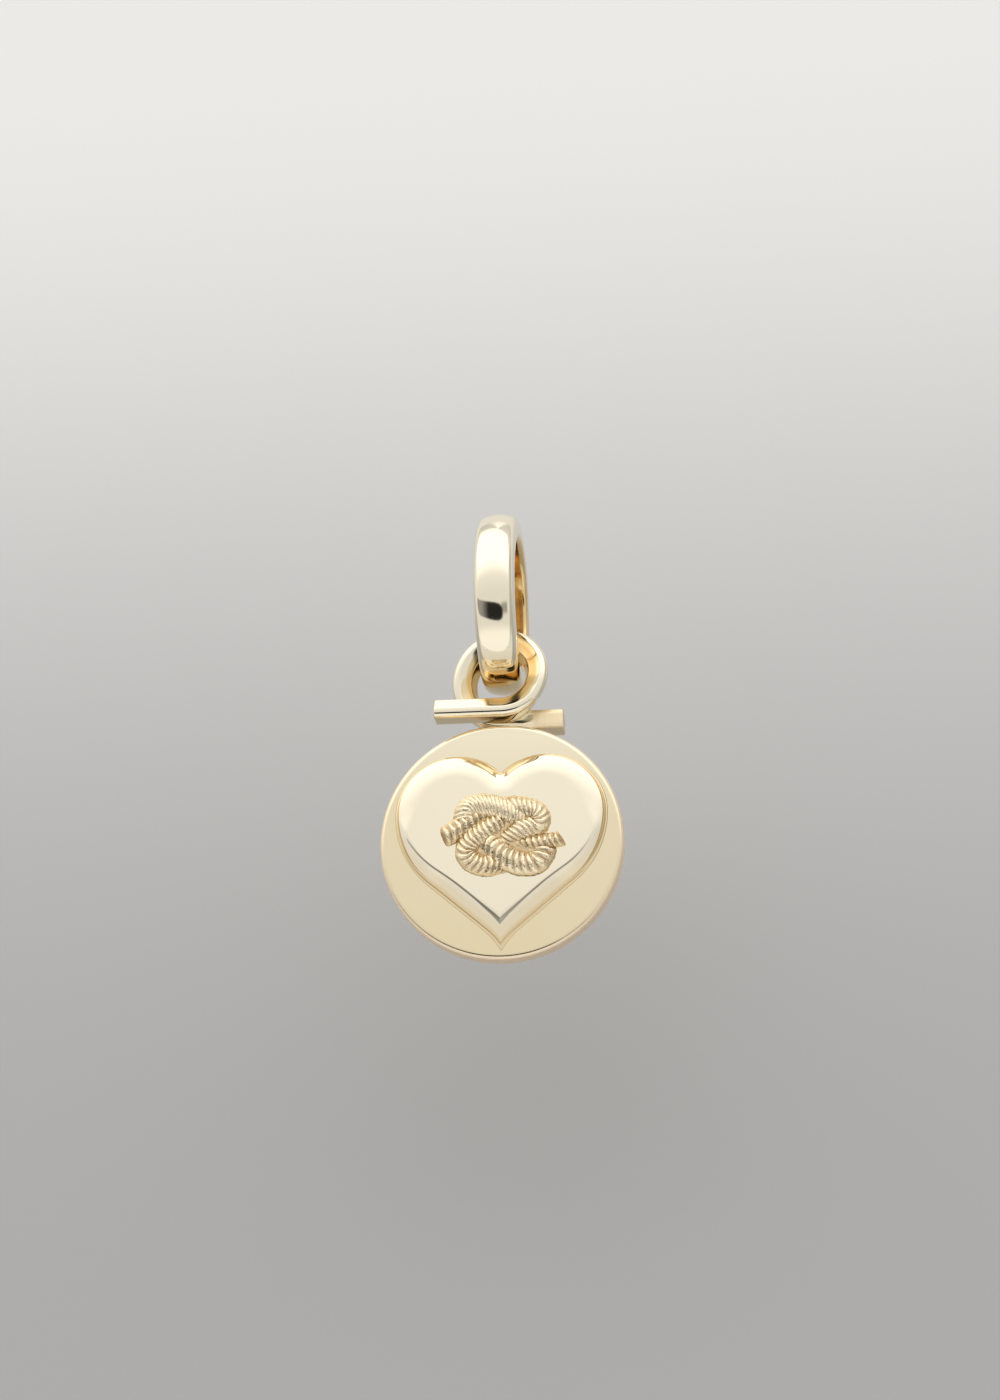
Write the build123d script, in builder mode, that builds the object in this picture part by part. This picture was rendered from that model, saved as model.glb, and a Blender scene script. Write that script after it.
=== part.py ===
from build123d import *
from math import acos, cos, degrees, hypot, radians, sin, tan
import os

# A heart medal hanging from a bail ring, in millimetres.
# The ring's centre is the origin, its axis is X, the medal hangs below it and faces -Y.

# Bail ring, a closed band with a low crown
ring_inner_radius = 3.9
ring_wall = 1.55
ring_width = 2.35
ring_side = 1.25
ring_shoulder = 0.55
ring_inner_edge = 0.3

# Hanging loop, one turn of rectangular wire with crossed legs
wire_width = 1.2
wire_depth = 1.6
wire_edge = 0.25
wire_twist = 14
loop_play = 0.12
loop_sag = 0.1
leg_step = 0.4
front_leg_reach = 3.9
rear_leg_reach = 3.6
crossing_solder = 0.06
leg_end_break = 0.08
straight_turn = 60
loop_sections = 12

# Medal disc with the flat that seats the loop
disc_radius = 7.1
disc_thickness = 1.3
disc_edge = 0.2
seat_depth = 0.13

# Raised heart
heart_half_width = 6.2
heart_rise = 0.7
lobe_radius = 3.6
lobe_height = 1.55
flank_radius = 5.5
flank_turn = 49.5
point_drop = 6.65
point_width = 1.1
wall_draft = 20
bevel_width = 0.8
bevel_slope = 32
lobe_round = 0.25

# Rope knot in relief
cord_radius = 0.6
cord_rest = 0.1
cord_groove = 0.06
bend_share = 0.48
over_share = 0.8
knot_right = 0.2
knot_lift = 0.05

# Places worked out from the sizes
ring_outer_radius = ring_inner_radius + ring_wall
ring_section_z = -(ring_inner_radius + ring_wall / 2)
ring_reach = hypot(ring_width / 2 - ring_inner_edge, ring_wall / 2 - ring_inner_edge) + ring_inner_edge
flat_width = (wire_width / 2 - wire_edge) * cos(radians(wire_twist))
flat_depth = (wire_depth / 2 - wire_edge) * sin(radians(wire_twist))
wire_reach = flat_width + flat_depth + wire_edge
loop_radius = ring_reach + loop_play + wire_reach
leg_offset = (wire_depth - crossing_solder) / 2
seat_z = ring_section_z - loop_radius - loop_sag - leg_step - wire_width / 2
disc_z = seat_z - (disc_radius - seat_depth)
disc_front = -disc_thickness / 2
heart_front = disc_front - heart_rise
lobe_x = heart_half_width - lobe_radius


def facing_front(depth, height):
    """A plane that faces the viewer, with its own Y axis upwards."""
    return Plane(origin=(0, depth, height), x_dir=(1, 0, 0), z_dir=(0, -1, 0))


# Bail ring: flat inside, with rounded shoulders and a low crown outside
with BuildPart() as bail_ring:
    with BuildSketch(Plane.XZ) as section:
        with BuildLine():
            inner = Line((-ring_width / 2, ring_inner_radius), (ring_width / 2, ring_inner_radius))
            right = Line(inner @ 1, inner @ 1 + Vector(0, ring_side))
            left = Line(inner @ 0, inner @ 0 + Vector(0, ring_side))
            ThreePointArc(left @ 1, (0, ring_outer_radius), right @ 1)
        make_face()
        inner_corners, outer_corners = section.vertices().group_by(Axis.Y)
        fillet(inner_corners, radius=ring_inner_edge)
        fillet(outer_corners, radius=ring_shoulder)
    revolve(axis=Axis.X)


def wire_centre(turn):
    """Centre of the loop's wire after a turn in degrees from the rear leg, which leaves at the bottom."""
    radius = loop_radius + (leg_step / 2 if turn < 180 else 0)
    middle = ring_section_z - (leg_step / 2 if turn < 180 else 0)
    share = min(max((turn - straight_turn) / (360 - 2 * straight_turn), 0), 1)
    depth = leg_offset * cos(radians(180 * share))
    angle = radians(turn)
    sag = loop_sag * max(cos(angle), 0) ** 2
    return Vector(-radius * sin(angle), depth, middle - radius * cos(angle) - sag)


def wire_plane(turn):
    """Plane across the wire there, its X away from the loop's centre and its Z along the wire.

    Off the legs the wire lies twisted, so that the loop opens towards the front.
    """
    angle = radians(turn)
    off_leg = min(turn, 360 - turn, straight_turn) / straight_turn
    twist = radians(wire_twist) * (1 - cos(radians(180 * off_leg))) / 2
    return Plane(
        origin=wire_centre(turn),
        x_dir=(-sin(angle) * cos(twist), sin(twist), -cos(angle) * cos(twist)),
        z_dir=(-cos(angle), 0, sin(angle)),
    )


# Hanging loop: a full turn of wire, then the two straight legs
with BuildPart() as hanging_loop:
    for half_turn in (0, 180):
        for step in range(loop_sections + 1):
            with BuildSketch(wire_plane(half_turn + 180 * step / loop_sections)):
                RectangleRounded(wire_width, wire_depth, wire_edge)
        loft()
    with BuildSketch(wire_plane(360)):
        RectangleRounded(wire_width, wire_depth, wire_edge)
    extrude(amount=front_leg_reach)
    with BuildSketch(wire_plane(0)):
        RectangleRounded(wire_width, wire_depth, wire_edge)
    extrude(amount=-rear_leg_reach)
    leg_ends = hanging_loop.faces().filter_by(Axis.X).sort_by(Axis.X)
    chamfer(leg_ends[0].edges() + leg_ends[-1].edges(), length=leg_end_break)

# Medal disc: round blank with the flat for the loop's rear leg
with BuildPart() as medal_disc:
    with BuildSketch(facing_front(disc_thickness / 2, disc_z)):
        Circle(disc_radius)
    extrude(amount=disc_thickness)
    fillet(medal_disc.edges().filter_by(GeomType.CIRCLE), radius=disc_edge)
    split(bisect_by=Plane.XY.offset(seat_z), keep=Keep.BOTTOM)

# Raised heart: drafted wall, flat top, two bevels along the lower V and soft lobes
flank_along = Vector(-sin(radians(flank_turn)), -cos(radians(flank_turn)))
with BuildPart() as heart_plate:
    with BuildSketch(facing_front(disc_front, disc_z)):
        with BuildLine():
            cleft_angle = degrees(acos(-lobe_x / lobe_radius))
            CenterArc((lobe_x, lobe_height), lobe_radius, 0, cleft_angle)
            flank = CenterArc((heart_half_width - flank_radius, lobe_height), flank_radius, 0, -flank_turn)
            run = ((flank @ 1).X - point_width) / -flank_along.X
            side = Line(flank @ 1, flank @ 1 + flank_along * run)
            TangentArc(side @ 1, (0, -point_drop), tangent=flank_along)
            mirror(about=Plane.YZ)
        make_face()
    extrude(amount=heart_rise, taper=wall_draft)
    for hand in (1, -1):
        outward = Vector(hand * cos(radians(flank_turn)), 0, -sin(radians(flank_turn)))
        flank_end = Vector(hand * (flank @ 1).X, heart_front, disc_z + (flank @ 1).Y)
        tilt = Vector(0, -cos(radians(bevel_slope)), 0) + outward * sin(radians(bevel_slope))
        split(bisect_by=Plane(origin=flank_end - outward * bevel_width, z_dir=tilt), keep=Keep.BOTTOM)
    top_edges = heart_plate.faces().sort_by(Axis.Y)[0].edges()
    fillet(top_edges.filter_by(GeomType.LINE, reverse=True), radius=lobe_round)

# Rope knot: the upper arch, the right lobe and the left tail of its cord, right and up from the knot's centre
# Each of them has a twin, turned by half a turn
arch = [Vector(-2.6, 0.45), Vector(-2.5, 1.6), Vector(-1.3, 2.0), Vector(1.25, 0.8)]
lobe = [Vector(-0.5, 1.45), Vector(1.1, 2.0), Vector(2.35, 1.55), Vector(2.4, 0.6), Vector(-0.15, -1.08)]
tail = [Vector(-3.3, 0.25), Vector(-1.6, 0.75), Vector(-1.0, 1.2)]


def turned(corners):
    """The same run of cord in the other half of the knot."""
    return [corner * -1 for corner in corners]


def bend_radii(corners):
    """The largest bends that the runs beside each corner leave room for."""
    radii = []
    for before, corner, after in zip(corners, corners[1:], corners[2:]):
        turn = radians((corner - before).get_angle(after - corner))
        radii.append(bend_share * min((corner - before).length, (after - corner).length) / tan(turn / 2))
    return radii


def cord_tube(corners, radius):
    """A round tube on the heart along a route of straight runs and bends."""
    across, up = knot_right, disc_z + knot_lift
    points = [Vector(across + corner.X, heart_front - cord_rest, up + corner.Y) for corner in corners]
    with BuildPart() as tube:
        with BuildLine() as line:
            if len(points) > 2:
                FilletPolyline(*points, radius=bend_radii(points))
            else:
                Line(*points)
        with BuildSketch(Plane(origin=line.line @ 0, z_dir=line.line % 0)):
            Circle(radius)
        sweep(path=line.line)
    return tube.part


# Each strand is given with the runs of cord that cross over its ends
arch_top = [arch[2], arch[2] + (arch[3] - arch[2]) * over_share]
strands = [
    (arch, [tail[:2], lobe[2:]]),
    (lobe, [arch_top, turned(arch[2:])]),
    (tail, [arch[1:], turned(lobe[2:])]),
]
strands += [(turned(corners), [turned(over) for over in crossings]) for corners, crossings in strands]
cords = []
for corners, crossings in strands:
    with BuildPart() as strand:
        add(cord_tube(corners, cord_radius))
        split(bisect_by=facing_front(heart_front, disc_z), keep=Keep.TOP)
        for over in crossings:
            add(cord_tube(over, cord_radius + cord_groove), mode=Mode.SUBTRACT)
    cords.append(strand.part)

with BuildPart() as rope_knot:
    add(cords)

os.makedirs("parts", exist_ok=True)
pieces = {
    "bail_ring": bail_ring,
    "hanging_loop": hanging_loop,
    "medal_disc": medal_disc,
    "heart_plate": heart_plate,
    "rope_knot": rope_knot,
}
for name, piece in pieces.items():
    piece.part.label = name
    export_step(piece.part, f"parts/{name}.step")
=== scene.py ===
"""A gold heart medal on a bail ring: the pieces as they look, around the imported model."""

from collections import namedtuple
from math import acos, atan2, cos, degrees, hypot, pi, radians, sin, sqrt, tan
from types import SimpleNamespace

import bmesh
import bpy
from bpy.props import FloatProperty, FloatVectorProperty, PointerProperty
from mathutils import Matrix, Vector


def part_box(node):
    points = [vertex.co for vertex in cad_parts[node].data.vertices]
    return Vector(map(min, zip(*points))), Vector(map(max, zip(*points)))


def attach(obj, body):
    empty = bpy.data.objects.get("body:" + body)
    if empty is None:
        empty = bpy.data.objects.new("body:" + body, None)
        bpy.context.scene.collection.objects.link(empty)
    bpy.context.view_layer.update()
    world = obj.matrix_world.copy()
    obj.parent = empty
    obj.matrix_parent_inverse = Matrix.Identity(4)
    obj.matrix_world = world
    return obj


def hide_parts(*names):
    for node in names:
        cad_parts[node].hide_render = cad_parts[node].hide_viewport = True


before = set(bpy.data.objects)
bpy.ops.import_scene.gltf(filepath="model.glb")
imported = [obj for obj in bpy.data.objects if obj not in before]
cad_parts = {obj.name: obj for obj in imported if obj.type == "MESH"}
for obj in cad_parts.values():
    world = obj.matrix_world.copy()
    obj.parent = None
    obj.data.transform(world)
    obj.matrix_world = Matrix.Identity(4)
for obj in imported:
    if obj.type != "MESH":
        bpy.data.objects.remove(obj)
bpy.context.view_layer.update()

bl_info = {
    "name": "Heart medal charm",
    "version": (1, 0, 0),
    "blender": (4, 5, 0),
    "location": "View3D > Sidebar > Charm",
    "description": "Models a gold heart medal on its bail ring and sets the table for its picture",
    "category": "Object",
}

MM = 0.001
X, Y, Z = range(3)
ORIGIN = (0, 0, 0)
TO_VIEWER = Vector((0, -1, 0))
TO_RIGHT = Vector((1, 0, 0))
UPWARDS = Vector((0, 0, 1))

# Marks on the meshes that the finishes read to paint shade: deep in the knot's cuts, and along the heart's
# crease
CUT = "cut"
CREASE = "crease"

# Strokes in which the outlines of the pieces are drawn
ROUND_STROKES = 288
RING_STROKES = SimpleNamespace(eye=6, edge=8, side=2, shoulder=14, crown=36)
WIRE_STROKES = SimpleNamespace(run=4, corner=10, chamfer=5, leg=6, turn=180, end=4)
DISC_EDGE_STROKES = 12
HEART_STROKES = SimpleNamespace(cleft=8, lobe=72, flank=40, side=16, point=14)
GROUND_STROKES = 3

# Millimetres within which places are the same
SAME = 0.0001
# A face with more sides closes the end of a piece
MOST_SIDES = 20


def node_span(node, axis):
    """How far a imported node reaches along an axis, in millimetres."""
    low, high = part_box(node)
    return (high[axis] - low[axis]) / MM


def length(name, description, millimetres):
    """A size that a user may change, given in millimetres and kept in metres."""
    return FloatProperty(name=name, description=description, default=millimetres * MM, unit="LENGTH",
                         subtype="DISTANCE", precision=5)


def angle(name, description, in_degrees):
    """A slope or turn that a user may change."""
    return FloatProperty(name=name, description=description, default=radians(in_degrees), unit="ROTATION",
                         subtype="ANGLE")


def colour(name, description, red, green, blue):
    """A colour that a user may change."""
    return FloatVectorProperty(name=name, description=description, default=(red, green, blue), size=3,
                               min=0, max=1, subtype="COLOR")


class CharmSizes(bpy.types.PropertyGroup):
    """Sizes of the charm's pieces."""

    ring_outer: length("Ring outer radius", "From the ring's axis to its crown",
                       node_span("bail_ring", Z) / 2)
    ring_wall: length("Ring wall", "From the ring's eye to its crown", 1.55)
    ring_width: length("Ring width", "Width of the band", node_span("bail_ring", X))
    ring_side: length("Ring side", "Height of the band's sides under the crown", 1.25)
    ring_shoulder: length("Ring shoulder", "Rounding between a side and the crown", 0.55)
    ring_inner_edge: length("Ring inner edge", "Rounding along the eye", 0.3)
    wire_width: length("Wire width", "Wire thickness across the loop's turn", 1.2)
    wire_depth: length("Wire depth", "Wire thickness from front to back", 1.6)
    wire_edge: length("Wire edge", "Rounding along the wire's rear edges", 0.25)
    wire_front_edge: length("Wire front edge", "Rounding along the wire's outer front edge", 0.4)
    wire_chamfer: length("Wire chamfer", "Width of the chamfer along the front edge inside the loop", 0.66)
    chamfer_depth: length("Chamfer depth", "Depth of that chamfer from front to back", 0.4)
    chamfer_round: length("Chamfer rounding", "Rounding along both edges of that chamfer", 0.14)
    wire_twist: angle("Wire twist", "Twist of the wire off its legs, which opens the loop to the front", 14)
    wire_end_edge: length("Wire end edge", "Rounding round the legs' ends", 0.08)
    loop_play: length("Loop play", "Least room between the loop and the ring's corners", 0.12)
    loop_sag: length("Loop sag", "How much lower the legs lie than a round turn's foot", 0.1)
    leg_step: length("Leg step", "How much lower the rear leg lies", 0.4)
    front_leg: length("Front leg", "Length of the front leg, to the left", 3.9)
    rear_leg: length("Rear leg", "Length of the rear leg, to the right", 3.6)
    solder: length("Solder", "How far the crossed legs sink into each other", 0.06)
    disc_radius: length("Disc radius", "Radius of the medal", node_span("medal_disc", X) / 2)
    disc_thickness: length("Disc thickness", "Thickness of the medal", node_span("medal_disc", Y))
    disc_edge: length("Disc edge", "Rounding round the medal", 0.3)
    seat_depth: length("Seat depth", "Depth of the flat under the loop", 0.13)
    heart_half_width: length("Heart half width", "From the middle to a lobe's side",
                             node_span("heart_plate", X) / 2)
    heart_rise: length("Heart rise", "Height of the heart over the medal", node_span("heart_plate", Y))
    lobe_radius: length("Lobe radius", "Radius of a lobe", 3.6)
    lobe_height: length("Lobe height", "A lobe's centre over the medal's", 1.55)
    flank_radius: length("Flank radius", "Radius of the bend under a lobe", 5.5)
    flank_turn: angle("Flank turn", "Turn of the bend under a lobe", 49.5)
    point_drop: length("Point drop", "The heart's point under the medal's centre", 6.65)
    point_width: length("Point width", "Where the flanks start to draw in to the point", 1.1)
    cove_width: length("Cove width", "Width of the hollow wall round the heart", 0.27)
    cleft_cove: length("Cleft cove", "Width of the softer hollow beside the cleft", 0.62)
    bevel_width: length("Bevel width", "From the heart's outline to the crease of its bevel", 1.08)
    bevel_end: length("Bevel end", "Width to which the bevel draws in beside the lobes", 0.6)
    bevel_slope: angle("Bevel slope", "Slope of the bevel along the lower V", 35.5)
    lobe_slope: angle("Lobe slope", "Slope of the lobes' soft edges", 22)
    crease_round: length("Crease rounding", "Half the width of the crease's rounding", 0.1)
    tip_round: length("Tip rounding", "What the crease's rounding grows by at the point", 0.2)
    lobe_round: length("Lobe rounding", "Half the width of the lobes' soft edges", 0.85)
    cord_radius: length("Cord radius", "Radius of the knot's cord", 0.64)
    cord_flat: FloatProperty(name="Cord flatness", description="Height of the cord over its width",
                             default=0.7, min=0, max=1, subtype="FACTOR")
    cord_cut: length("Cord cut", "Depth of the cuts between the ribs", 0.15)
    cord_slant: length("Cord slant", "How far a rib runs along the cord on its way down a side", 0.2)
    cord_wear: length("Cord wear", "Unevenness of the cast cord", 0.05)
    knot_lift: length("Knot lift", "The knot's middle over the medal's centre", 0.3)
    sheet_gap: length("Sheet gap", "Room behind the charm, in which the medal can swing", 17.8)


class CharmColours(bpy.types.PropertyGroup):
    """Colours of the gold and of the stage."""

    bright_gold: colour("Bright gold", "Polished gold of the ring, the wire and the heart",
                        0.92, 0.855, 0.69)
    medal_gold: colour("Medal gold", "Gold of the medal's ground", 0.82, 0.735, 0.525)
    # Painted shade and interreflection for hollows, the inside of the ring and its foot, also mixed in as
    # random tone
    deep_gold: colour("Deep gold", "Gold in hollows and inside the ring", 0.80, 0.58, 0.27)
    # Painted reflection: the medal's rim is painted paler and rosy
    rim_gold: colour("Rim gold", "Rosy gold of the medal's rim", 1.0, 0.83, 0.64)
    knot_gold: colour("Knot gold", "Gold of the cord's ribs", 1.0, 0.89, 0.65)
    # Painted shade low on the cord's sides, also mixed in as random tone
    knot_side: colour("Knot side", "Gold low on the cord's sides", 0.66, 0.49, 0.27)
    # Painted shade deep in the cord's cuts
    knot_brown: colour("Knot brown", "Gold deep in the cord's cuts", 0.38, 0.24, 0.11)
    # Painted shade: a dark line along the crease of the heart's bevel, in place of a dark reflection
    crease_brown: colour("Crease brown", "Fine dark line along the crease of the heart's bevel",
                         0.16, 0.11, 0.07)
    # The sheet's painted light falloff runs between these two tones
    floor_far: colour("Far floor", "The stage where it is lightest", 0.86, 0.86, 0.855)
    floor_near: colour("Near floor", "The stage where it is darkest", 0.42, 0.42, 0.42)


def in_millimetres(group):
    """The group's sizes in millimetres, in which the pieces are drawn, with its angles as they are."""
    kinds = {key: group.bl_rna.properties[key].unit for key in group.__annotations__}
    return SimpleNamespace(**{key: getattr(group, key) / (MM if unit == "LENGTH" else 1)
                              for key, unit in kinds.items()})


def charm_sizes(context):
    """The drawing sizes and the places worked out from them."""
    s = in_millimetres(context.scene.charm_sizes)
    s.ring_inner = s.ring_outer - s.ring_wall
    s.loop_z = -(s.ring_inner + s.ring_wall / 2)
    ring_corner = s.ring_width / 2 - s.ring_inner_edge, s.ring_wall / 2 - s.ring_inner_edge
    ring_reach = hypot(*ring_corner) + s.ring_inner_edge
    flat_width = (s.wire_width / 2 - s.wire_edge) * cos(s.wire_twist)
    flat_depth = (s.wire_depth / 2 - s.wire_edge) * sin(s.wire_twist)
    s.loop_radius = ring_reach + s.loop_play + flat_width + flat_depth + s.wire_edge
    s.leg_offset = (s.wire_depth - s.solder) / 2
    s.seat_z = s.loop_z - s.loop_radius - s.loop_sag - s.leg_step - s.wire_width / 2
    s.disc_z = s.seat_z - (s.disc_radius - s.seat_depth)
    s.disc_front = -s.disc_thickness / 2
    s.heart_front = s.disc_front - s.heart_rise
    return s


def charm_colours(context):
    """The colours, each with full cover."""
    group = context.scene.charm_colours
    return SimpleNamespace(**{key: (*getattr(group, key), 1.0) for key in group.__annotations__})


# Tools of the hand: a pen, a picker and the steps that pieces share


class Pen:
    """Draws an outline in edit mode, one stroke after another."""

    def __init__(self, start):
        if bpy.context.mode != "EDIT_MESH":
            bpy.ops.object.select_all(action="DESELECT")
            bpy.ops.mesh.primitive_plane_add(size=1, enter_editmode=True)
            bpy.ops.mesh.select_mode(type="VERT")
        else:
            bpy.ops.mesh.primitive_plane_add(size=1)
        bpy.ops.mesh.merge(type="CENTER")
        bpy.ops.transform.translate(value=start)
        self.at = Vector(start)

    def line_to(self, end, strokes=1):
        """A straight line, in as many strokes."""
        step = (Vector(end) - self.at) / strokes
        for _ in range(strokes):
            bpy.ops.mesh.extrude_vertices_move(TRANSFORM_OT_translate={"value": step})
        self.at = Vector(end)

    def arc(self, centre, turn, axis, strokes):
        """An arc about a centre, right-handed about the axis; the spin tool counts the other way."""
        bpy.ops.mesh.spin(steps=strokes, angle=-turn, center=centre, axis=axis)
        tool = bmesh.from_edit_mesh(bpy.context.edit_object.data)
        self.at = next(v.co.copy() for v in tool.verts if v.select)


def pick(kind, wanted):
    """Selects in edit mode the vertices, edges or faces that are wanted."""
    bpy.ops.mesh.select_mode(type=kind)
    bpy.ops.mesh.select_all(action="DESELECT")
    mesh = bpy.context.edit_object.data
    tool = bmesh.from_edit_mesh(mesh)
    for part in {"VERT": tool.verts, "EDGE": tool.edges, "FACE": tool.faces}[kind]:
        if wanted(part):
            part.select_set(True)
    tool.select_flush_mode()
    bmesh.update_edit_mesh(mesh)


def middle(edge):
    """The middle of an edge."""
    return (edge.verts[0].co + edge.verts[1].co) / 2


def push(step):
    """Extrudes what is selected in edit mode."""
    bpy.ops.mesh.extrude_region_move(TRANSFORM_OT_translate={"value": step})


def close_up(gap=0.002):
    """Merges doubles and turns the faces outwards."""
    bpy.ops.mesh.select_all(action="SELECT")
    bpy.ops.mesh.remove_doubles(threshold=gap)
    bpy.ops.mesh.normals_make_consistent(inside=False)


def fill_outline():
    """Closes a drawn outline with a face, which is then selected."""
    close_up()
    bpy.ops.mesh.edge_face_add()
    bpy.ops.mesh.select_mode(type="FACE")
    bpy.ops.mesh.select_all(action="SELECT")


def inset_caps(thickness):
    """Draws a narrow rim inside the large faces that close a piece, so that they shade flat."""
    pick("FACE", lambda f: len(f.verts) > MOST_SIDES)
    bpy.ops.mesh.inset(thickness=thickness)


def mark_points(piece, name, shares):
    """Gives the points of a mesh a share each, under a name that a finish reads."""
    mark = piece.data.attributes.new(name, "FLOAT", "POINT")
    for index, share in shares.items():
        mark.data[index].value = share


def shape_by(kind, name, **settings):
    """Shapes the active piece by a modifier, which is applied."""
    modifier = bpy.context.object.modifiers.new(name, kind)
    for key, value in settings.items():
        setattr(modifier, key, value)
    bpy.ops.object.modifier_apply(modifier=modifier.name)


def smooth(value, low, high):
    """Rises smoothly from 0 at low to 1 at high."""
    share = min(max((value - low) / (high - low), 0), 1)
    return share * share * (3 - 2 * share)


def finish_piece(name, node, body, material):
    """Brings a drawn piece from millimetres to metres, gives it its finish and sets it on its body."""
    if bpy.context.mode != "EDIT_MESH":
        bpy.ops.object.mode_set(mode="EDIT")
    bpy.ops.mesh.select_all(action="SELECT")
    bpy.ops.transform.resize(value=(MM, MM, MM), center_override=ORIGIN)
    bpy.ops.object.mode_set(mode="OBJECT")
    piece = bpy.context.object
    piece.name = name
    piece.data.name = name
    bpy.ops.object.shade_smooth()
    piece.data.materials.clear()
    piece.data.materials.append(material)
    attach(piece, body)
    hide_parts(node)


# Finishes


# Colour sockets of a Mix node
MIX_FIRST, MIX_SECOND, MIX_RESULT = 6, 7, 2


def arithmetic(operation, swapped=False):
    """The method of an operator, or of its reflected form, by a Math node."""
    def work_out(one, other):
        return one.math(operation, *((other, one) if swapped else (one, other)))
    return work_out


class Wire:
    """A socket whose arithmetic adds Math nodes to its tree."""

    def __init__(self, bench, socket):
        self.bench = bench
        self.socket = socket

    def math(self, operation, *values):
        """A Math node of some values."""
        return self.bench.node("ShaderNodeMath", {"operation": operation}, dict(enumerate(values)))

    __add__, __radd__ = arithmetic("ADD"), arithmetic("ADD", swapped=True)
    __sub__, __rsub__ = arithmetic("SUBTRACT"), arithmetic("SUBTRACT", swapped=True)
    __mul__, __rmul__ = arithmetic("MULTIPLY"), arithmetic("MULTIPLY", swapped=True)
    __truediv__, __rtruediv__ = arithmetic("DIVIDE"), arithmetic("DIVIDE", swapped=True)
    __pow__ = arithmetic("POWER")
    at_least = arithmetic("MAXIMUM")

    def __neg__(self):
        return self.math("MULTIPLY", self, -1)

    def __abs__(self):
        return self.math("ABSOLUTE", self)

    def step(self, low, high):
        """Rises smoothly from 0 at low to 1 at high."""
        return self.bench.node("ShaderNodeMapRange", {"interpolation_type": "SMOOTHSTEP"},
                               {"Value": self, "From Min": low, "From Max": high})

    def step_mm(self, low, high):
        """Rises so between two places in millimetres."""
        return self.step(low * MM, high * MM)

    def between(self, low, full, fading, gone):
        """Rises from low to full, and falls again from fading to gone."""
        return self.step(low, full) * (1 - self.step(fading, gone))

    def turn_from(self, ahead):
        """The angle in degrees from a direction ahead to this one."""
        return self.math("ARCTAN2", self, ahead) * degrees(1)

    def slope(self):
        """The angle in degrees that has this sine."""
        return self.math("ARCSINE", self) * degrees(1)

    def parts(self):
        """The three numbers of a vector."""
        split = self.bench.tree.nodes.new("ShaderNodeSeparateXYZ")
        self.bench.tree.links.new(self.socket, split.inputs[0])
        return [Wire(self.bench, out) for out in split.outputs]


class Bench:
    """The node tree of one finish."""

    def __init__(self, tree):
        self.tree = tree
        tree.nodes.clear()

    def node(self, kind, settings=None, inputs=None, output=0):
        """Adds a node: its settings first, then the values or links of its sockets."""
        made = self.tree.nodes.new(kind)
        for key, value in (settings or {}).items():
            setattr(made, key, value)
        for key, value in (inputs or {}).items():
            if isinstance(value, Wire):
                self.tree.links.new(value.socket, made.inputs[key])
            else:
                made.inputs[key].default_value = value
        return Wire(self, made.outputs[output]) if made.outputs else None

    def place(self):
        """Where a point of the piece is, in metres."""
        return self.node("ShaderNodeTexCoord", output="Object")

    def mark(self, name):
        """The share that a point of the piece has under a name."""
        return self.node("ShaderNodeAttribute", {"attribute_name": name}, output="Fac")

    def noise(self, place, per_metre, detail=2.0, roughness=0.5):
        """Noise with so many waves in a metre, a number or three of them."""
        scale = per_metre if isinstance(per_metre, tuple) else (per_metre,) * 3
        stretched = self.node("ShaderNodeMapping", {}, {"Vector": place, "Scale": scale})
        return self.node("ShaderNodeTexNoise", {}, {"Vector": stretched, "Scale": 1.0, "Detail": detail,
                                                    "Roughness": roughness})

    def blend(self, share, first, second):
        """A colour between two."""
        return self.node("ShaderNodeMix", {"data_type": "RGBA"},
                         {"Factor": share, MIX_FIRST: first, MIX_SECOND: second}, output=MIX_RESULT)


def gold(name, surface):
    """A gold finish; surface gives its colour, its roughness and its relief in metres."""
    material = bpy.data.materials.new(name)
    material.use_nodes = True
    bench = Bench(material.node_tree)
    s, colours = charm_sizes(bpy.context), charm_colours(bpy.context)
    base, roughness, relief = surface(bench, bench.place(), s, colours)
    bump = bench.node("ShaderNodeBump", {}, {"Strength": 1.0, "Distance": 1.0, "Height": relief})
    shader = bench.node("ShaderNodeBsdfPrincipled", {}, {"Base Color": base, "Metallic": 1.0,
                                                         "Roughness": roughness, "Normal": bump})
    bench.node("ShaderNodeOutputMaterial", {}, {"Surface": shader})
    return material


# Waves in a metre of the unevenness of the finishes
HAZE_WAVES = 700.0
HAIR_WAVES = (26000.0, 26000.0, 2600.0)
SWELL_WAVES = 330.0
RING_TONE_WAVES = 500.0
STROKE_WAVES = (17000.0, 9000.0, 2600.0)
MEDAL_TONE_WAVES = 260.0
HEART_TONE_WAVES = 300.0
GRAIN_WAVES = 9000.0
CHIP_WAVES = 4200.0

# Heights of their relief in metres
SWELL_HEIGHT = 4e-6
HAIR_HEIGHT = 6e-8
STROKE_HEIGHT = 6e-6
GRAIN_HEIGHT = 8e-6
CHIP_HEIGHT = 6e-5

# Roughness of the polish and of the cast knot, where they are smoothest
POLISH_ROUGHNESS = 0.035
CAST_ROUGHNESS = 0.09


def polish(bench, place):
    """Fine marks of the polishing wheel: roughness and relief."""
    haze = bench.noise(place, HAZE_WAVES, detail=3.0)
    hairs = bench.noise(place, HAIR_WAVES, roughness=0.6)
    swell = bench.noise(place, SWELL_WAVES, detail=1.0)
    roughness = POLISH_ROUGHNESS + haze * 0.05 + hairs * 0.03
    return roughness, swell * SWELL_HEIGHT + hairs * HAIR_HEIGHT


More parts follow.
